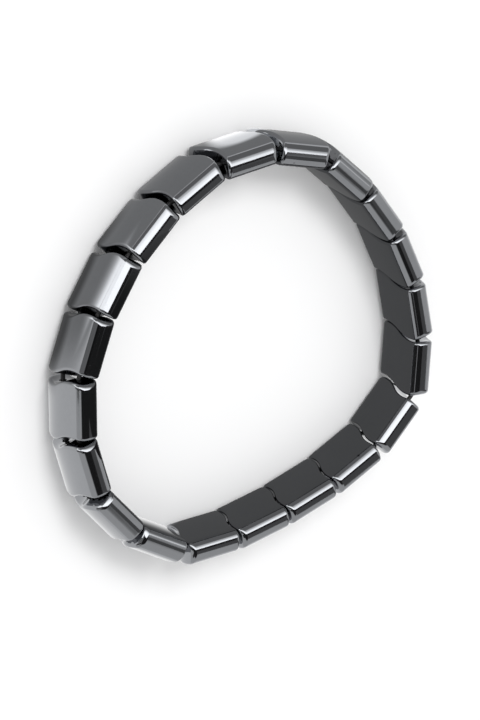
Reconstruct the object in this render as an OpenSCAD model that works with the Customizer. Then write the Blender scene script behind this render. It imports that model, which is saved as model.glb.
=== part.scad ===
// Stretch bracelet of polished hematite tiles on two elastic cords, lying on its side.
// The tiles are hinged at their inner edges, so the gaps open towards the outside.
// Their ends are waved, so that each tile nests into the next.

/* [Bead] */
// Length of a bead along the bracelet
bead_length = 9; // [8:0.1:10]
// Width of a bead across the bracelet
bead_width = 9.8; // [8.8:0.1:10.6]
// Thickness of a bead from the inner face to the crown of the outer face
bead_thickness = 4.6; // [4.4:0.1:5.6]
// Radius of the long shoulders beside the outer face
outer_shoulder = 1.5; // [0.8:0.1:1.7]
// Radius of the long shoulders beside the inner face
inner_shoulder = 1.3; // [0.6:0.1:1.4]
// Radius of the arched outer face
crown_radius = 11; // [10:0.5:20]
// How far the waved ends swing to each side of a straight end
wave_height = 0.8; // [0.4:0.05:1]
// Distance of the crest of that wave from the middle of the bead
wave_crest = 2.9; // [2.5:0.1:3.2]
// Radius of the four corners of the outer face
corner_radius = 0.7; // [0.4:0.1:0.9]

/* [Cord holes] */
// Radius of the two drilled holes
bore_radius = 0.6; // [0.5:0.05:0.8]
// Distance between the two holes
bore_spacing = 4.4; // [3.5:0.1:5]

/* [String] */
// Gap between the inner edges of two beads
bead_gap = 0.18; // [0.16:0.01:0.3]
// Radius of an elastic cord
elastic_radius = 0.35; // [0.25:0.05:0.4]
// Direction in which the first bead points, in degrees
first_heading = 109; // [0:1:359]

/* [Hidden] */
$fn = 64;

// Turn from each bead to the next, in degrees, as the loop lies
turns = [28, 11, 12, 14, 15, 40, 19, 9, 6, 10, 32, 19, 25, 16, 20, 12, 14, 14, 23, 21];
bead_count = len(turns);
pitch = bead_length + bead_gap;
cord_depth = bead_thickness / 2;
elastic_sides = 10;
overrun = 1;

bead_names = [for (i = [1:bead_count]) str("bead_", i < 10 ? "0" : "", i)];

// The closed outline that the inner edges follow: one side for each bead
function total(list, i = 0) = i < len(list) ? list[i] + total(list, i + 1) : [0, 0];
headings = [for (i = 0, h = first_heading; i < bead_count; h = h - turns[i], i = i + 1) h];
steps = [for (h = headings) pitch * [cos(h), sin(h)]];
closing = total(steps) / bead_count;
outline = [for (i = 0, p = [0, 0]; i < bead_count; p = p + steps[i] - closing, i = i + 1) p];

function side(i) = outline[(i + 1) % bead_count] - outline[i];
function along(i) = side(i) / norm(side(i));
function outward(i) = [-along(i)[1], along(i)[0]];
function middle(i) = (outline[i] + outline[(i + 1) % bead_count]) / 2;

// The waved end: two arcs that meet in the middle of the bead
wave_radius = (pow(wave_height, 2) + pow(wave_crest, 2)) / (2 * wave_height);
function wave(across) = sign(across)
    * (wave_height - wave_radius + sqrt(pow(wave_radius, 2) - pow(abs(across) - wave_crest, 2)));

// The crown arc runs into the shoulder arcs without an edge
shoulder_side = bead_width / 2 - outer_shoulder;
shoulder_height = bead_thickness - crown_radius
    + sqrt(pow(crown_radius - outer_shoulder, 2) - pow(shoulder_side, 2));
crown_side = shoulder_side * crown_radius / (crown_radius - outer_shoulder);
function crown_height(across) = bead_thickness - crown_radius + sqrt(pow(crown_radius, 2) - pow(across, 2));

// The box round the loop as seen from above, which puts its middle at the origin
end_places = [for (i = [0:bead_count - 1], s = [-1, 1], across = [-crown_side:crown_side / 40:crown_side])
    middle(i) + (s * bead_length / 2 + wave(across)) * along(i) + crown_height(across) * outward(i)];
box_middle = [for (axis = [0, 1])
    let (places = [for (p = end_places) p[axis]]) (max(places) + min(places)) / 2];

// A corner of the string's own path, on the line that halves the turn between two beads
function string_corner(i, depth) =
    let (before = outward((i + bead_count - 1) % bead_count), after = outward(i),
         half_way = before + after)
    outline[i] + half_way * depth * 2 / (half_way * half_way);

// The bead seen from its end: the inner face lies on the x axis
module end_section() {
    intersection() {
        translate([0, bead_thickness - crown_radius]) circle(crown_radius, $fn = 360);
        translate([-crown_side, shoulder_height / 2]) square([2 * crown_side, bead_thickness]);
    }
    translate([-bead_width / 2, inner_shoulder])
        square([bead_width, shoulder_height - inner_shoulder]);
    translate([inner_shoulder - bead_width / 2, 0])
        square([bead_width - 2 * inner_shoulder, shoulder_height]);
    for (s = [-1, 1]) {
        translate([s * shoulder_side, shoulder_height]) circle(outer_shoulder);
        translate([s * (bead_width / 2 - inner_shoulder), inner_shoulder]) circle(inner_shoulder);
    }
}

// The bead seen from outside, with x along the string
module face_outline() {
    half_face();
    rotate(180) half_face();
}

// The half that ends in a hollow on the left and in a bulge on the right
module half_face() {
    bulge = [bead_length / 2 + wave_height - wave_radius, wave_crest];
    hollow = [-bead_length / 2 + wave_height - wave_radius, wave_crest];
    level = bead_width / 2 - corner_radius;
    function corner(arc, reach) = [arc[0] + sqrt(pow(reach, 2) - pow(level - arc[1], 2)), level];
    bulge_corner = corner(bulge, wave_radius - corner_radius);
    hollow_corner = corner(hollow, wave_radius + corner_radius);
    difference() {
        intersection() {
            translate([-bead_length, 0]) square([2 * bead_length, bead_width / 2]);
            translate(bulge) circle(wave_radius, $fn = 180);
        }
        translate(hollow) circle(wave_radius, $fn = 180);
        corner_waste(bulge_corner, (bulge_corner - bulge) / (wave_radius - corner_radius));
        corner_waste(hollow_corner, (hollow - hollow_corner) / (wave_radius + corner_radius));
    }
}

// What a rounded corner takes away, between the end arc and the long side
module corner_waste(centre, toward_end) {
    far = 3 * corner_radius;
    translate(centre) difference() {
        polygon([[0, 0], far * toward_end, far * (toward_end + [0, 1]), [0, far]]);
        circle(corner_radius);
    }
}

// One tile: x along the string, y outward from the inner face, z across the bracelet
module bead_body() {
    intersection() {
        translate([-bead_length, 0, bead_width / 2])
            rotate([0, 90, 0]) linear_extrude(2 * bead_length) end_section();
        translate([0, bead_thickness + overrun, bead_width / 2])
            rotate([90, 0, 0]) linear_extrude(bead_thickness + 2 * overrun) face_outline();
    }
}

module bead() {
    color([0.24, 0.25, 0.27]) difference() {
        bead_body();
        for (s = [-1, 1])
            translate([-bead_length, cord_depth, bead_width / 2 + s * bore_spacing / 2])
                rotate([0, 90, 0]) cylinder(h = 2 * bead_length, r = bore_radius);
    }
}

module placed_bead(i) {
    place = middle(i) - box_middle;
    translate([place[0], place[1], 0]) rotate(atan2(along(i)[1], along(i)[0])) bead();
}

// One elastic cord: a ring of points at each corner of the string, joined by straight runs
module elastic(height) {
    rings = [for (i = [0:bead_count - 1], k = [0:elastic_sides - 1])
        let (a = 360 * k / elastic_sides,
             p = string_corner(i, cord_depth + elastic_radius * cos(a)) - box_middle)
        [p[0], p[1], height + elastic_radius * sin(a)]];
    faces = [for (i = [0:bead_count - 1], k = [0:elastic_sides - 1])
        let (j = (i + 1) % bead_count, m = (k + 1) % elastic_sides)
        [i * elastic_sides + k, j * elastic_sides + k, j * elastic_sides + m, i * elastic_sides + m]];
    color([0.06, 0.06, 0.07]) polyhedron(rings, faces);
}

module elastic_upper() {
    elastic(bead_width / 2 + bore_spacing / 2);
}

module elastic_lower() {
    elastic(bead_width / 2 - bore_spacing / 2);
}

for (i = [0:bead_count - 1])
    placed_bead(i);
elastic_upper();
elastic_lower();
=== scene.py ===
import math

import bmesh
import bpy
from mathutils import Matrix, Vector
from mathutils.geometry import delaunay_2d_cdt


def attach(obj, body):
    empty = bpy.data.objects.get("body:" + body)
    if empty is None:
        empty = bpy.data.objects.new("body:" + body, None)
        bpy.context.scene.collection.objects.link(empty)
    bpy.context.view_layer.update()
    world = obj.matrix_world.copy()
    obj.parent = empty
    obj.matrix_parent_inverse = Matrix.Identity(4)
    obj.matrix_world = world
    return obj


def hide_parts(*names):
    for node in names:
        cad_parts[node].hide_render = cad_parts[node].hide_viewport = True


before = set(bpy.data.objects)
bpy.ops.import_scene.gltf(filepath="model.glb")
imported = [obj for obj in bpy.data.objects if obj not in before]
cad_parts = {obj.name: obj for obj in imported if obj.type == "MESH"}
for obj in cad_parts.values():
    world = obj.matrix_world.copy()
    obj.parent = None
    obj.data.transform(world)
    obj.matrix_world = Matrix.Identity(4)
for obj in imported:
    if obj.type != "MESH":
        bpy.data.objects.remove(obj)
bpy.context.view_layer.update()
mm = 0.001
print("frame loaded:", len(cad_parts), "nodes")


# small helpers for node trees
def addNode(tree, kind, feeds=None, **settings):
    node = tree.nodes.new(kind)
    node.location = (len(tree.nodes) * 190, (len(tree.nodes) % 4) * -170)
    for name, value in settings.items():
        setattr(node, name, value)
    for name, value in (feeds or {}).items():
        socket = node.inputs[name]
        if isinstance(value, bpy.types.NodeSocket):
            tree.links.new(value, socket)
        else:
            socket.default_value = value
    return node


def newGeometryTree(name, sockets):
    tree = bpy.data.node_groups.new(name, "GeometryNodeTree")
    tree.interface.new_socket("Geometry", in_out="INPUT", socket_type="NodeSocketGeometry")
    for label, kind, value in sockets:
        socket = tree.interface.new_socket(label, in_out="INPUT", socket_type=kind)
        if value is not None:
            socket.default_value = value
    tree.interface.new_socket("Geometry", in_out="OUTPUT", socket_type="NodeSocketGeometry")
    return tree


def runTree(name, pathMesh, tree, values):
    # runs a tree on a path and keeps its result as a plain mesh object at the origin
    carrier = bpy.data.objects.new(name + "Path", pathMesh)
    bpy.context.scene.collection.objects.link(carrier)
    modifier = carrier.modifiers.new(name, "NODES")
    modifier.node_group = tree
    for item in tree.interface.items_tree:
        if item.item_type == "SOCKET" and item.in_out == "INPUT" and item.name in values:
            modifier[item.identifier] = values[item.name]
    graph = bpy.context.evaluated_depsgraph_get()
    made = bpy.data.meshes.new_from_object(carrier.evaluated_get(graph), depsgraph=graph)
    made.name = name
    carrier.modifiers.remove(modifier)
    bpy.data.objects.remove(carrier)
    piece = bpy.data.objects.new(name, made)
    bpy.context.scene.collection.objects.link(piece)
    return piece


# how the tiles lie: sizes in millimetres, angles in degrees
stringing = {
    "gap": 0.18,
    "firstHeading": 109.0,
    "turns": [28, 11, 12, 14, 15, 40, 19, 9, 6, 10, 32, 19, 25, 16, 20, 12, 14, 14, 23, 21],
}

# the tile: sizes in millimetres, angles in degrees
tile = {
    "length": 9.0,
    "width": 9.8,
    "thickness": 4.6,
    "crown": 11.0,
    "shoulder": 1.6,
    "wallSweep": 10.0,  # how far the bulged side wall turns to each side of upright
    "innerShoulder": 1.35,
    "innerCrown": 60.0,  # the inner face is almost flat
    "plainShoulder": 1.5,  # shoulder of the frame's plainer tiles, which centre the loop
    "waveHeight": 0.8,
    "waveCrest": 2.9,
    "corner": 0.7,
    "endEdge": 0.5,
    "innerEndEdge": 0.4,
    "bore": 0.6,
    "boreSpacing": 4.4,
    "boreSides": 24,
    "capStep": 0.32,
    "faceSteps": 5,
    "shoulderSteps": 9,
    "wallSteps": 6,
    "edgeSteps": 6,
    "supportWidth": 0.05,
    "crispAngle": 50.0,
}


def endWave(across):
    # how far a tile's waved end swings along the string at a distance from the tile's middle
    height, crest = tile["waveHeight"], tile["waveCrest"]
    radius = (height**2 + crest**2) / (2 * height)
    swing = height - radius + math.sqrt(radius**2 - (abs(across) - crest) ** 2)
    return math.copysign(swing, across)


def loopOutline():
    # corners of the closed line that the inner edges follow, with the origin in the middle of the box
    pitch = tile["length"] + stringing["gap"]
    heading, steps = stringing["firstHeading"], []
    for turn in stringing["turns"]:
        angle = math.radians(heading)
        steps.append(Vector((math.cos(angle), math.sin(angle))) * pitch)
        heading -= turn
    closing = sum(steps, Vector((0, 0))) / len(steps)
    corners = [Vector((0, 0))]
    for step in steps[:-1]:
        corners.append(corners[-1] + step - closing)
    sides = []
    for i, corner in enumerate(corners):
        along = corners[(i + 1) % len(corners)] - corner
        middle = corner + along / 2
        along.normalize()
        sides.append([middle, along, Vector((-along.y, along.x))])
    crown, shoulder = tile["crown"], tile["plainShoulder"]
    crownSide = (tile["width"] / 2 - shoulder) * crown / (crown - shoulder)
    reach, samples = [], 40
    for k in range(-samples, samples + 1):
        across = crownSide * k / samples
        height = tile["thickness"] - crown + math.sqrt(crown**2 - across**2)
        for m, a, o in sides:
            reach += [m + (s * tile["length"] / 2 + endWave(across)) * a + height * o for s in (-1, 1)]
    middle = Vector([(max(p[k] for p in reach) + min(p[k] for p in reach)) / 2 for k in (0, 1)])
    for side in sides:
        side[0] = side[0] - middle
    return [corner - middle for corner in corners], sides


innerCorners, sides = loopOutline()
print("loop laid out:", len(sides), "tiles")


# one tile as a smooth closed shell
def tileSection():
    # points and normals round the tile's section: x across the bracelet, y outward from the inner face
    # on each side five arcs run into one another: crown, shoulder, bulged wall, inner shoulder, inner face
    half, thick, sweep = tile["width"] / 2, tile["thickness"], math.radians(tile["wallSweep"])
    crown, outer, inner, back = tile["crown"], tile["shoulder"], tile["innerShoulder"], tile["innerCrown"]
    high, low = math.pi / 2 - sweep, math.pi / 2 + sweep
    touch, leave = 0.35, 0.3  # first guesses for where the crown ends and the inner face starts
    for attempt in range(12):  # each round brings both closer
        drop = crown * (1 - math.cos(touch)) + outer * (math.cos(touch) - math.cos(high))
        drop += inner * (math.cos(low) + math.cos(leave)) + back * (1 - math.cos(leave))
        wall = (thick - drop) / (math.cos(high) - math.cos(low))
        flank = half - wall * (1 - math.sin(high))
        touch = math.asin((flank - outer * math.sin(high)) / (crown - outer))
        leave = math.asin((flank - inner * math.sin(low)) / (back - inner))
    arcs = [
        (crown, 0.0, touch, tile["faceSteps"]),
        (outer, touch, high, tile["shoulderSteps"]),
        (wall, high, low, tile["wallSteps"]),
        (inner, low, math.pi - leave, tile["shoulderSteps"]),
        (back, math.pi - leave, math.pi, tile["faceSteps"]),
    ]
    x, y, right = 0.0, thick, [(0.0, thick, 0.0, 1.0)]
    for radius, start, end, steps in arcs:
        for k in range(1, steps + 1):
            a = start + (end - start) * k / steps
            right.append((
                x + radius * (math.sin(a) - math.sin(start)), y + radius * (math.cos(a) - math.cos(start)),
                math.sin(a), math.cos(a),
            ))
        x, y = right[-1][:2]
    left = [(-x, y, -nx, ny) for x, y, nx, ny in reversed(right[1:-1])]
    return right[:-1] + [(0.0, 0.0, 0.0, -1.0)] + left


def endPoint(side, across, height):
    # a point on a waved end: side -1 or 1, across from the tile's middle, height above the inner face
    return Vector((side * tile["length"] / 2 + endWave(across), height, tile["width"] / 2 + across))


def inside(ring, spot):
    # whether a flat spot lies inside a ring of flat points
    hit = False
    for a, b in zip(ring, ring[1:] + ring[:1]):
        if (a.y > spot.y) != (b.y > spot.y):
            if spot.x < a.x + (b.x - a.x) * (spot.y - a.y) / (b.y - a.y):
                hit = not hit
    return hit


def capEnd(mesh, side, lip, mouths):
    # fills the end between its lip and the bore mouths with small triangles that follow the wave
    half = tile["width"] / 2
    loops = [lip] + mouths
    verts = [v for loop in loops for v in loop]
    flat = [Vector((v.co.z - half, v.co.y)) for v in verts]
    edges, rings, first = [], [], 0
    for loop in loops:
        count = len(loop)
        edges += [(first + k, first + (k + 1) % count) for k in range(count)]
        rings.append(flat[first:first + count])
        first += count
    step = tile["capStep"]
    for row in range(1, int(tile["thickness"] / step)):
        for column in range(-int(half / step), int(half / step) + 1):
            spot = Vector((column * step, row * step))
            margin = min((spot - point).length for point in flat[:first])
            if margin > step / 2 and inside(rings[0], spot) and not any(inside(r, spot) for r in rings[1:]):
                flat.append(spot)
                verts.append(mesh.verts.new(endPoint(side, spot.x, spot.y)))
    made = delaunay_2d_cdt(flat, edges, [], 0, 1e-6)
    faces, origins = made[2], made[3]
    for face in faces:
        corners = [origins[k][0] for k in face]
        spot = sum((flat[k] for k in corners), Vector((0, 0))) / 3
        if inside(rings[0], spot) and not any(inside(r, spot) for r in rings[1:]):
            mesh.faces.new([verts[k] for k in corners])


def buildTile():
    mesh = bmesh.new()
    section = tileSection()
    length, support = tile["length"], tile["supportWidth"]

    def edgeRadius(nx, ny):
        # larger at the four corners, smaller round the inner face
        face = tile["endEdge"] if ny > 0 else tile["innerEndEdge"]
        return face + (tile["corner"] - face) * nx * nx

    rings = []  # each ring: how far round the end edge (0 to 1), and a shift along the tile
    stepsIn = [k / tile["edgeSteps"] for k in range(tile["edgeSteps"] + 1)]
    places = [(-1, q, 0.0) for q in reversed(stepsIn)] + [(-1, 0.0, support)]
    places += [(0, 0.0, x) for x in (-0.5, 0.0, 0.5)]
    places += [(1, 0.0, -support)] + [(1, q, 0.0) for q in stepsIn]
    for side, q, shift in places:
        ring = []
        for x, y, nx, ny in section:
            r = edgeRadius(nx, ny)
            a = q * math.pi / 2
            along = side * (length / 2 - r + r * math.sin(a)) + shift if side else shift * length / 2
            inset = r * (1 - math.cos(a))
            across = x - nx * inset
            ring.append(mesh.verts.new((along + endWave(across), y - ny * inset, tile["width"] / 2 + across)))
        rings.append(ring)
    count = len(section)
    for low, high in zip(rings, rings[1:]):
        for i in range(count):
            j = (i + 1) % count
            mesh.faces.new((low[i], high[i], high[j], low[j]))
    # the ends: a narrow support strip, then a face with the two bores in it
    depth, boreRings = tile["thickness"] / 2, []
    middle = Vector((0, depth, tile["width"] / 2))
    for side, ring in ((-1, rings[0]), (1, rings[-1])):
        lip = []
        for v in ring:
            inward = middle - v.co
            inward.x = 0
            spot = v.co + inward.normalized() * support
            lip.append(mesh.verts.new(endPoint(side, spot.z - tile["width"] / 2, spot.y)))
        for i in range(count):
            j = (i + 1) % count
            mesh.faces.new((ring[i], ring[j], lip[j], lip[i]))
        mouths = []
        for s in (-1, 1):
            mouth = []
            for k in range(tile["boreSides"]):
                a = math.tau * k / tile["boreSides"]
                across = s * tile["boreSpacing"] / 2 + tile["bore"] * math.sin(a)
                mouth.append(mesh.verts.new(endPoint(side, across, depth + tile["bore"] * math.cos(a))))
            mouths.append(mouth)
        capEnd(mesh, side, lip, mouths)
        boreRings.append(mouths)
    for a, b in zip(boreRings[0], boreRings[1]):
        for k in range(tile["boreSides"]):
            j = (k + 1) % tile["boreSides"]
            mesh.faces.new((a[k], a[j], b[j], b[k]))
    bmesh.ops.recalc_face_normals(mesh, faces=mesh.faces)
    for vert in mesh.verts:
        vert.co *= mm
    for face in mesh.faces:
        face.smooth = True
    for edge in mesh.edges:  # a crisp mouth on each bore
        if len(edge.link_faces) == 2 and edge.calc_face_angle() > math.radians(tile["crispAngle"]):
            edge.smooth = False
    shell = bpy.data.meshes.new("tileShell")
    mesh.to_mesh(shell)
    mesh.free()
    return shell


tileObject = bpy.data.objects.new("tileMaster", buildTile())
print("tile built:", len(tileObject.data.polygons), "faces")


# materials
def newMaterial(name):
    material = bpy.data.materials.new(name)
    material.use_nodes = True
    tree = material.node_tree
    return material, tree, tree.nodes["Principled BSDF"]


def newShaderGroup(name, inputs, outputs):
    tree = bpy.data.node_groups.new(name, "ShaderNodeTree")
    for label, kind, value in inputs:
        socket = tree.interface.new_socket(label, in_out="INPUT", socket_type=kind)
        if value is not None:
            socket.default_value = value
    for label, kind in outputs:
        tree.interface.new_socket(label, in_out="OUTPUT", socket_type=kind)
    return tree, addNode(tree, "NodeGroupInput"), addNode(tree, "NodeGroupOutput")


def ramp(tree, value, stops):
    # grey levels against a value, eased between the stops
    node = addNode(tree, "ShaderNodeValToRGB", {"Fac": value})
    node.color_ramp.interpolation = "EASE"
    points = node.color_ramp.elements
    while len(points) < len(stops):
        points.new(0.5)
    for point, (place, level) in zip(points, stops):
        point.position = place
        point.color = (level, level, level, 1)
    return node.outputs["Color"]


def pittedGroup():
    # sparse little pits in a polished face: where they are, and how deep
    tree, start, end = newShaderGroup("polishPits", [
        ("Place", "NodeSocketVector", None),
        ("Density", "NodeSocketFloat", 700.0),
        ("Size", "NodeSocketFloat", 0.16),
        ("Share", "NodeSocketFloat", 0.06),
    ], [("Pits", "NodeSocketFloat")])
    cells = addNode(tree, "ShaderNodeTexVoronoi", {
        "Vector": start.outputs["Place"], "Scale": start.outputs["Density"],
    })
    picked = addNode(tree, "ShaderNodeSeparateColor", {"Color": cells.outputs["Color"]})
    chosen = addNode(tree, "ShaderNodeMath", {
        0: picked.outputs["Red"], 1: start.outputs["Share"],
    }, operation="LESS_THAN")
    reach = addNode(tree, "ShaderNodeMath", {
        0: picked.outputs["Green"], 1: start.outputs["Size"],
    }, operation="MULTIPLY")
    dot = addNode(tree, "ShaderNodeMapRange", {
        "Value": cells.outputs["Distance"],
        "From Min": 0.0, "From Max": reach.outputs[0], "To Min": 1.0, "To Max": 0.0,
    }, interpolation_type="SMOOTHSTEP")
    both = addNode(tree, "ShaderNodeMath", {
        0: dot.outputs["Result"], 1: chosen.outputs[0],
    }, operation="MULTIPLY")
    tree.links.new(both.outputs[0], end.inputs["Pits"])
    return tree


def unevenGroup():
    # slow variation over a surface, from two sizes of noise
    tree, start, end = newShaderGroup("unevenness", [
        ("Place", "NodeSocketVector", None),
        ("Broad", "NodeSocketFloat", 90.0),
        ("Fine", "NodeSocketFloat", 900.0),
        ("Fine Share", "NodeSocketFloat", 0.3),
    ], [("Level", "NodeSocketFloat")])
    broad = addNode(tree, "ShaderNodeTexNoise", {
        "Vector": start.outputs["Place"], "Scale": start.outputs["Broad"], "Detail": 1.0,
    })
    fine = addNode(tree, "ShaderNodeTexNoise", {
        "Vector": start.outputs["Place"], "Scale": start.outputs["Fine"], "Detail": 2.0,
    })
    mixed = addNode(tree, "ShaderNodeMix", {
        "Factor": start.outputs["Fine Share"], "A": broad.outputs["Fac"], "B": fine.outputs["Fac"],
    })
    tree.links.new(mixed.outputs["Result"], end.inputs["Level"])
    return tree


pits = pittedGroup()
uneven = unevenGroup()


def placeGroup(tree, group, values):
    return addNode(tree, "ShaderNodeGroup", values, node_tree=group)


def mixedTone(tree, share, dark, light):
    # a colour between two others
    node = addNode(tree, "ShaderNodeMix", {0: share, 6: dark, 7: light}, data_type="RGBA")
    return node.outputs[2]


hematiteLook = {
    "dark": (0.245, 0.252, 0.265, 1),
    "light": (0.290, 0.298, 0.312, 1),
    # painted shade that darkens the pits, over their real dents
    "pitShade": (0.05, 0.05, 0.055, 1),
    "grain": {"Broad": 140.0, "Fine": 1500.0, "Fine Share": 0.35},
    "roughness": {"From Min": 0.3, "From Max": 0.7, "To Min": 0.05, "To Max": 0.085},
    "waves": {"Broad": 220.0, "Fine": 1400.0, "Fine Share": 0.08},
    "waveBump": {"Strength": 0.025, "Distance": 0.0004},
    "pits": {"Density": 620.0, "Size": 0.22, "Share": 0.05},
    "pitBump": {"Strength": 0.3, "Distance": 0.0001},
}


def hematiteMaterial():
    look = hematiteLook
    material, tree, shader = newMaterial("polishedHematite")
    place = addNode(tree, "ShaderNodeTexCoord").outputs["Object"]
    level = placeGroup(tree, uneven, {"Place": place, **look["grain"]}).outputs["Level"]
    spots = placeGroup(tree, pits, {"Place": place, **look["pits"]}).outputs["Pits"]
    tone = mixedTone(tree, level, look["dark"], look["light"])
    # the pits are dented by the bump below and darkened with painted shade
    tree.links.new(mixedTone(tree, spots, tone, look["pitShade"]), shader.inputs["Base Color"])
    rough = addNode(tree, "ShaderNodeMapRange", {"Value": level, **look["roughness"]})
    tree.links.new(rough.outputs["Result"], shader.inputs["Roughness"])
    shader.inputs["Metallic"].default_value = 1.0
    # the polish leaves the faces slightly wavy, which bends the straight reflections
    waves = placeGroup(tree, uneven, {"Place": place, **look["waves"]}).outputs["Level"]
    wavy = addNode(tree, "ShaderNodeBump", {"Height": waves, **look["waveBump"]})
    pitted = addNode(tree, "ShaderNodeBump", {
        "Height": spots, "Normal": wavy.outputs["Normal"], **look["pitBump"],
    }, invert=True)
    tree.links.new(pitted.outputs["Normal"], shader.inputs["Normal"])
    return material


elasticLook = {
    "dark": (0.004, 0.004, 0.005, 1),
    "light": (0.014, 0.014, 0.016, 1),
    "grain": {"Broad": 700.0, "Fine": 5000.0, "Fine Share": 0.5},
    "roughness": {"To Min": 0.45, "To Max": 0.65},
    "fibreBump": {"Strength": 0.3, "Distance": 0.00005},
}


def elasticMaterial():
    look = elasticLook
    material, tree, shader = newMaterial("blackElastic")
    place = addNode(tree, "ShaderNodeTexCoord").outputs["Object"]
    level = placeGroup(tree, uneven, {"Place": place, **look["grain"]}).outputs["Level"]
    tree.links.new(mixedTone(tree, level, look["dark"], look["light"]), shader.inputs["Base Color"])
    rough = addNode(tree, "ShaderNodeMapRange", {"Value": level, **look["roughness"]})
    tree.links.new(rough.outputs["Result"], shader.inputs["Roughness"])
    fibres = addNode(tree, "ShaderNodeBump", {"Height": level, **look["fibreBump"]})
    tree.links.new(fibres.outputs["Normal"], shader.inputs["Normal"])
    return material


hematite = hematiteMaterial()
elastic = elasticMaterial()


# tiles on the loop
def layTilesTree():
    tree = newGeometryTree("layTiles", [
        ("Tile", "NodeSocketObject", None),
        ("Finish", "NodeSocketMaterial", None),
    ])
    start = addNode(tree, "NodeGroupInput")
    heading = addNode(tree, "GeometryNodeInputNamedAttribute", {"Name": "heading"}, data_type="FLOAT")
    turned = addNode(tree, "ShaderNodeCombineXYZ", {"Z": heading.outputs["Attribute"]})
    shell = addNode(tree, "GeometryNodeObjectInfo", {
        "Object": start.outputs["Tile"],
    }, transform_space="ORIGINAL")
    placed = addNode(tree, "GeometryNodeInstanceOnPoints", {
        "Points": start.outputs["Geometry"],
        "Instance": shell.outputs["Geometry"],
        "Rotation": turned.outputs["Vector"],
    })
    real = addNode(tree, "GeometryNodeRealizeInstances", {"Geometry": placed.outputs["Instances"]})
    finish = addNode(tree, "GeometryNodeSetMaterial", {
        "Geometry": real.outputs["Geometry"],
        "Material": start.outputs["Finish"],
    })
    addNode(tree, "NodeGroupOutput", {"Geometry": finish.outputs["Geometry"]})
    return tree


tilePlaces = bpy.data.meshes.new("tilePlaces")
tilePlaces.from_pydata([(m.x * mm, m.y * mm, 0) for m, a, o in sides], [], [])
headings = tilePlaces.attributes.new("heading", "FLOAT", "POINT")
headings.data.foreach_set("value", [math.atan2(a.y, a.x) for m, a, o in sides])
tiles = runTree("hematiteTiles", tilePlaces, layTilesTree(), {"Tile": tileObject, "Finish": hematite})
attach(tiles, "root")
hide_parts(*[f"bead_{i + 1:02d}" for i in range(len(sides))])
print("tiles laid:", len(tiles.data.polygons), "faces")

# elastic cords: sizes in millimetres
cord = {"radius": 0.35, "bend": 0.5, "bendSteps": 4, "sides": 12}


def drawCordTree():
    tree = newGeometryTree("drawCord", [
        ("Radius", "NodeSocketFloat", 0.00035),
        ("Bend", "NodeSocketFloat", 0.0005),
        ("Bend Steps", "NodeSocketInt", 4),
        ("Sides", "NodeSocketInt", 12),
        ("Finish", "NodeSocketMaterial", None),
    ])
    start = addNode(tree, "NodeGroupInput")
    line = addNode(tree, "GeometryNodeMeshToCurve", {"Mesh": start.outputs["Geometry"]})
    bent = addNode(tree, "GeometryNodeFilletCurve", {
        "Curve": line.outputs["Curve"], "Limit Radius": True,
        "Radius": start.outputs["Bend"], "Count": start.outputs["Bend Steps"],
    }, mode="POLY")
    ring = addNode(tree, "GeometryNodeCurvePrimitiveCircle", {
        "Resolution": start.outputs["Sides"], "Radius": start.outputs["Radius"],
    })
    tube = addNode(tree, "GeometryNodeCurveToMesh", {
        "Curve": bent.outputs["Curve"], "Profile Curve": ring.outputs["Curve"],
    })
    smooth = addNode(tree, "GeometryNodeSetShadeSmooth", {"Geometry": tube.outputs["Mesh"]})
    real = addNode(tree, "GeometryNodeRealizeInstances", {"Geometry": smooth.outputs["Geometry"]})
    finish = addNode(tree, "GeometryNodeSetMaterial", {
        "Geometry": real.outputs["Geometry"],
        "Material": start.outputs["Finish"],
    })
    addNode(tree, "NodeGroupOutput", {"Geometry": finish.outputs["Geometry"]})
    return tree


cordTree = drawCordTree()
for nodeName, sign in (("elastic_upper", 1), ("elastic_lower", -1)):
    height = tile["width"] / 2 + sign * tile["boreSpacing"] / 2
    points = []
    for i, corner in enumerate(innerCorners):
        halfWay = sides[i - 1][2] + sides[i][2]
        spot = corner + halfWay * (tile["thickness"] / 2) * 2 / halfWay.length_squared
        points.append((spot.x * mm, spot.y * mm, height * mm))
    route = bpy.data.meshes.new(nodeName + "Route")
    route.from_pydata(points, [(i, (i + 1) % len(points)) for i in range(len(points))], [])
    thread = runTree("cord_" + nodeName[8:], route, cordTree, {
        "Radius": cord["radius"] * mm, "Sides": cord["sides"], "Finish": elastic,
        "Bend": cord["bend"] * mm, "Bend Steps": cord["bendSteps"],
    })
    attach(thread, "root")
    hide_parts(nodeName)
print("cords drawn")

# floor, and the painted shade and painted light that the polished tiles see on it in reflections: sizes and
# places in metres
studio = {
    "floorSize": 6.0,
    "floorTone": (0.90, 0.90, 0.903, 1),
    "floorRoughness": 0.9,
    # how brightly the floor glows in reflections alone: a painted reflection, not light from the lamps
    "paintedFloorGlow": 1.12,
    "floorLight": 0.86,
}


def easedRange(tree, value, start, end, first, last):
    # first where the value is at start, last where it is at end, eased in between
    return addNode(tree, "ShaderNodeMapRange", {
        "Value": value, "From Min": start, "From Max": end, "To Min": first, "To Max": last,
    }, interpolation_type="SMOOTHSTEP").outputs["Result"]


def vectorStep(tree, operation, first, second=None):
    feeds = {0: first} if second is None else {0: first, 1: second}
    return addNode(tree, "ShaderNodeVectorMath", feeds, operation=operation).outputs[0]


def vectorLength(tree, vector):
    return addNode(tree, "ShaderNodeVectorMath", {0: vector}, operation="LENGTH").outputs["Value"]


def numberStep(tree, operation, first, second):
    return addNode(tree, "ShaderNodeMath", {0: first, 1: second}, operation=operation).outputs[0]


def spotLevel(tree, place, middle, size, soft):
    # 1 inside an ellipse on the floor, 0 outside it; soft: its blurred rim as a share of its size
    shifted = vectorStep(tree, "SUBTRACT", place, (*middle, 0))
    reach = vectorLength(tree, vectorStep(tree, "DIVIDE", shifted, (*size, 1)))
    return easedRange(tree, reach, 1 + soft, 1 - soft, 0.0, 1.0)


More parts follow.
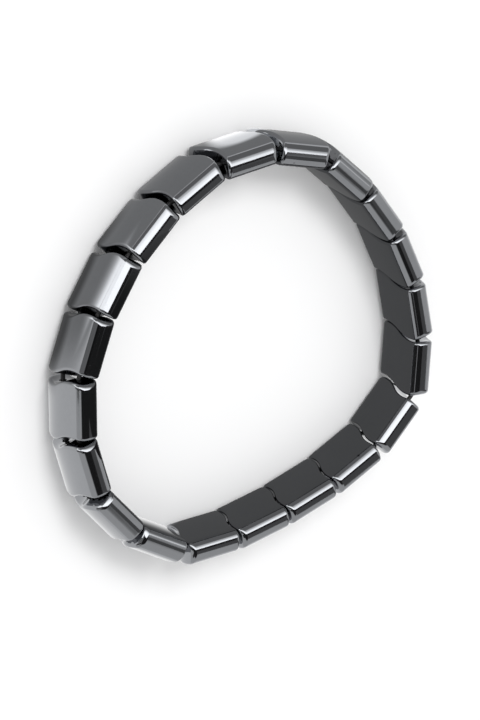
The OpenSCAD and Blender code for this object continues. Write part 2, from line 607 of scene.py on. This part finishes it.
def stripLevel(tree, place, middle, size, soft):
    # 1 inside a rectangle on the floor, 0 outside it; soft: half the width of its blurred ends
    shifted = vectorStep(tree, "SUBTRACT", place, (*middle, 0))
    beyond = vectorStep(tree, "SUBTRACT", vectorStep(tree, "ABSOLUTE", shifted), (*size, 0))
    crisper = vectorStep(tree, "MULTIPLY", beyond, (2, 1, 1))  # its long sides blur half as much
    parts = addNode(tree, "ShaderNodeSeparateXYZ", {"Vector": crisper})
    worst = numberStep(tree, "MAXIMUM", parts.outputs["X"], parts.outputs["Y"])
    return easedRange(tree, worst, soft, -soft, 0.0, 1.0)


# painted shade and painted light on the floor, which only the tiles' reflections see, each laid over the ones
# before
paintedFloorShadeAndLight = [
    {  # wide shade in front of the loop, to the left
        "shape": spotLevel, "middle": (-0.030, -0.070), "size": (0.050, 0.090), "soft": 0.14, "level": 0.47,
    },
    {  # shade at the foot of the nearest tiles
        "shape": spotLevel, "middle": (0.003, -0.0305), "size": (0.014, 0.0045), "soft": 0.3, "level": 0.16,
    },
    {  # bright spot at the foot of tile 20
        "shape": spotLevel, "middle": (-0.031, -0.019), "size": (0.006, 0.005), "soft": 0.3, "level": 2.0,
    },
    {  # bright path from the loop towards the camera
        "shape": stripLevel, "middle": (0.001, -0.555), "size": (0.010, 0.5), "soft": 0.014, "level": 2.9,
    },
    {  # shade inside the loop
        "shape": spotLevel, "middle": (-0.0035, 0.001), "size": (0.0325, 0.0325), "soft": 0.04, "level": 0.19,
    },
]


def seenByTiles(tree, plain, seen):
    # the second shader where a polished face reflects it, the first for everything else
    rays = addNode(tree, "ShaderNodeLightPath")
    return addNode(tree, "ShaderNodeMixShader", {
        0: rays.outputs["Is Glossy Ray"], 1: plain.outputs[0], 2: seen.outputs[0],
    }).outputs[0]


def floorMaterial():
    # pale and matt; in reflections alone it glows instead, with the painted shade and painted light laid on
    # it
    material, tree, shader = newMaterial("paleFloor")
    shader.inputs["Base Color"].default_value = studio["floorTone"]
    shader.inputs["Roughness"].default_value = studio["floorRoughness"]
    place = addNode(tree, "ShaderNodeTexCoord").outputs["Object"]
    level = studio["paintedFloorGlow"]
    for patch in paintedFloorShadeAndLight:
        covered = patch["shape"](tree, place, patch["middle"], patch["size"], patch["soft"])
        blend = addNode(tree, "ShaderNodeMix", {"Factor": covered, "A": level, "B": patch["level"]})
        level = blend.outputs["Result"]
    # the floor as reflections see it: a glow with painted shade and painted light, not lit
    seen = addNode(tree, "ShaderNodeEmission", {"Strength": level})
    tree.links.new(seenByTiles(tree, shader, seen), tree.nodes["Material Output"].inputs["Surface"])
    return material


def addStage(name, corners):
    # a flat four-cornered mesh that belongs to the studio
    mesh = bpy.data.meshes.new(name)
    mesh.from_pydata(corners, [], [(0, 1, 2, 3)])
    sheet = bpy.data.objects.new(name, mesh)
    bpy.context.scene.collection.objects.link(sheet)
    return sheet


far = studio["floorSize"] / 2
floor = addStage("floor", [(-far, -far, 0), (far, -far, 0), (far, far, 0), (-far, far, 0)])
floor.data.materials.append(floorMaterial())

# the room round the floor: levels of light, heights as the sine of the angle above the horizon
room = {
    "wallLevel": 1.05,
    "darkSide": -50.0,  # direction of the darker wall, in degrees from the camera's side
    "darkLevel": 0.40,
    "darkBlend": (-0.2, 0.3),
    "wallTop": (0.74, 0.83),
    "ceiling": 0.035,
}


def roomWorld():
    # an even light for the floor; the tiles see pale walls under a dark ceiling
    world = bpy.data.worlds.new("softRoom")
    world.use_nodes = True
    tree = world.node_tree
    even = tree.nodes["Background"]
    even.inputs["Color"].default_value = (1, 1, 1, 1)
    even.inputs["Strength"].default_value = studio["floorLight"]
    direction = addNode(tree, "ShaderNodeTexCoord").outputs["Generated"]
    a = math.radians(room["darkSide"])
    toward = addNode(tree, "ShaderNodeVectorMath", {
        0: direction, 1: (math.sin(a), -math.cos(a), 0),
    }, operation="DOT_PRODUCT").outputs["Value"]
    level = vectorLength(tree, vectorStep(tree, "MULTIPLY", direction, (1, 1, 0)))
    facing = numberStep(tree, "DIVIDE", toward, level)
    wall = easedRange(tree, facing, *room["darkBlend"], room["wallLevel"], room["darkLevel"])
    parts = addNode(tree, "ShaderNodeSeparateXYZ", {"Vector": direction})
    height = easedRange(tree, parts.outputs["Z"], *room["wallTop"], 1.0, room["ceiling"])
    seen = addNode(tree, "ShaderNodeBackground", {"Strength": numberStep(tree, "MULTIPLY", wall, height)})
    tree.links.new(seenByTiles(tree, even, seen), tree.nodes["World Output"].inputs["Surface"])
    return world


bpy.context.scene.world = roomWorld()


# boards that only reflections see: corners in metres, fade as stops from the left edge to the right
boards = {
    "overheadBox": {  # the large softbox, which fades towards the left
        "corners": [(-0.95, -1.4, 1.0), (0.07, -1.4, 1.0), (0.07, 0.08, 1.0), (-0.95, 1.57, 1.0)],
        "level": 3.6,
        "fade": [(0.0, 0.22), (0.3, 0.42), (0.55, 0.8), (0.75, 1.0)],
    },
    "frontBox": {  # a tall light behind the camera
        "corners": [(-0.22, -1.4, 0.0), (0.28, -1.4, 0.0), (0.28, -1.4, 1.0), (-0.22, -1.4, 1.0)],
        "level": 3.0,
    },
    "backFlag": {  # dark, behind the loop, for the upper sides
        "corners": [(0.15, 0.9, 0.22), (-0.11, 0.9, 0.22), (-0.11, 0.9, 1.7), (0.15, 0.9, 1.7)],
        "level": 0.16,
    },
    "innerFlag": {  # painted shade: a dark sheet upright over the opening, which only the inner shoulders of tiles 15 to 18 reflect
        "corners": [
            (-0.010, -0.012, 0.0075), (0.021, -0.012, 0.0075),
            (0.021, -0.012, 0.042), (-0.010, -0.012, 0.042),
        ],
        "level": 0.12,
        "fade": [(0.0, 1.0), (0.4, 0.25)],
        "oneSided": True,
    },
    "lowFlag": {  # dark, at the front right, for the upper shoulder of tile 6
        "corners": [
            (0.248, -0.326, 0.0), (0.306, -0.257, 0.0),
            (0.354, -0.200, 0.48), (0.248, -0.326, 0.48),
        ],
        "level": 0.035,
    },
    "highFlag": {  # dark, to the right and higher, for the upper shoulder of tile 5
        "corners": [
            (0.388, -0.145, 0.25), (0.394, -0.080, 0.25),
            (0.403, 0.025, 0.52), (0.388, -0.145, 0.52),
        ],
        "level": 0.05,
    },
}


def boardMaterial(name, level, fade, oneSided):
    material, tree, shader = newMaterial(name)
    tree.nodes.remove(shader)
    face = addNode(tree, "ShaderNodeEmission", {"Strength": level})
    if fade:
        place = addNode(tree, "ShaderNodeTexCoord").outputs["UV"]
        across = addNode(tree, "ShaderNodeSeparateXYZ", {"Vector": place}).outputs["X"]
        tree.links.new(ramp(tree, across, fade), face.inputs["Color"])
    if oneSided:
        clear = addNode(tree, "ShaderNodeBsdfTransparent")
        behind = addNode(tree, "ShaderNodeNewGeometry").outputs["Backfacing"]
        face = addNode(tree, "ShaderNodeMixShader", {0: behind, 1: face.outputs[0], 2: clear.outputs[0]})
    tree.links.new(face.outputs[0], tree.nodes["Material Output"].inputs["Surface"])
    return material


def addBoard(name, corners, level, fade=None, oneSided=False):
    board = addStage(name, corners)
    layer = board.data.uv_layers.new(name="across")
    for loop, spot in zip(layer.data, ((0, 0), (1, 0), (1, 1), (0, 1))):
        loop.uv = spot
    board.data.materials.append(boardMaterial(name + "Face", level, fade, oneSided))
    board.visible_camera = board.visible_diffuse = board.visible_shadow = False
    board.visible_transmission = board.visible_volume_scatter = False


for name, board in boards.items():
    addBoard(name, **board)

# a soft lamp from the front left, which lays the faint shadow behind the loop
softLamp = {"power": 4.2, "size": 0.35, "place": (-0.45, -0.35, 0.8)}

lampData = bpy.data.lights.new("softLamp", "AREA")
lampData.energy = softLamp["power"]
lampData.size = softLamp["size"]
lamp = bpy.data.objects.new("softLamp", lampData)
lamp.location = softLamp["place"]
lamp.rotation_euler = (-lamp.location).to_track_quat("-Z", "Y").to_euler()
lamp.visible_glossy = False
bpy.context.scene.collection.objects.link(lamp)
print("studio set:", len(boards), "boards")

# camera: places in metres, roll in degrees, lens and picture height in millimetres
view = {
    "location": (-0.001716, -0.314487, 0.394811),
    "target": (0.001290, -0.001604, 0.005042),
    "roll": 117.322,
    "lens": 161.642,
    "pictureHeight": 36,
    "nearest": 0.01,
}

cameraData = bpy.data.cameras.new("camera")
cameraData.sensor_fit = "VERTICAL"
cameraData.sensor_height = view["pictureHeight"]
cameraData.lens = view["lens"]
cameraData.clip_start = view["nearest"]
camera = bpy.data.objects.new("camera", cameraData)
camera.location = view["location"]
look = (Vector(view["target"]) - Vector(view["location"])).to_track_quat("-Z", "Y").to_matrix()
camera.rotation_euler = (look @ Matrix.Rotation(math.radians(view["roll"]), 3, "Z")).to_euler()
bpy.context.scene.collection.objects.link(camera)
bpy.context.scene.camera = camera
bpy.context.scene.view_settings.view_transform = "Standard"
print("camera set")
